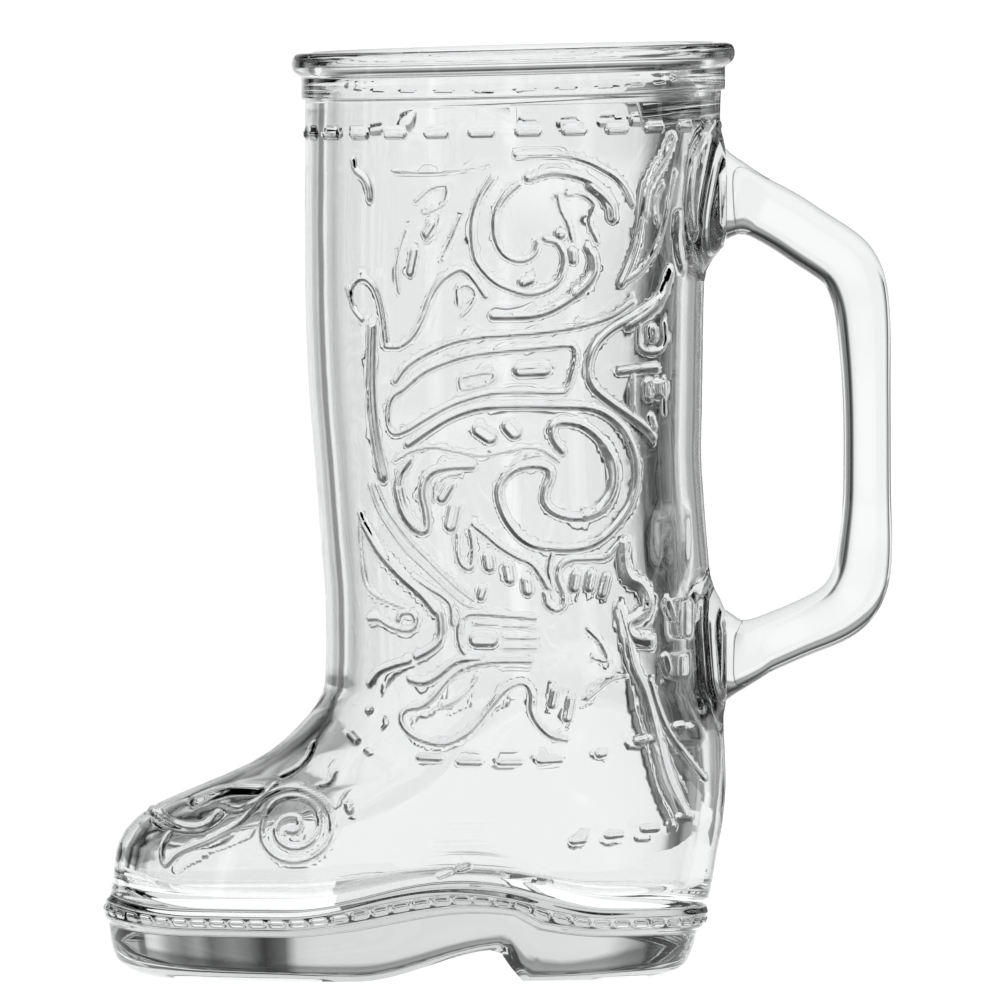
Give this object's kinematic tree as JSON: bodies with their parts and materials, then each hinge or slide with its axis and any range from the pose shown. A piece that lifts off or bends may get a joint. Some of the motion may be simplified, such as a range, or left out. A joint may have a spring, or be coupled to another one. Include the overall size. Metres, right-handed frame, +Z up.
{
  "type": "boot glass mug",
  "caption": "Clear glass beer mug shaped like a western boot, with a hollow shaft and foot, a solid sole and heel, and a D-shaped handle at the back.",
  "frame": {"origin": "on the table, under the middle of the glass's length and width", "axes": "+X from the toe to the handle, +Z up, so that +Y is the wearer's side away from the picture"},
  "size_m": [0.1418, 0.0798, 0.168],
  "materials": {
    "boot_glass": "clear pressed soda-lime glass, fire-polished, with raised ornament on the shaft",
    "handle_glass": "clear soda-lime glass, fire-polished and smooth"
  },
  "bodies": {
    "root": {"boot_body": "boot_glass", "handle": "handle_glass"}
  },
  "joints": []
}
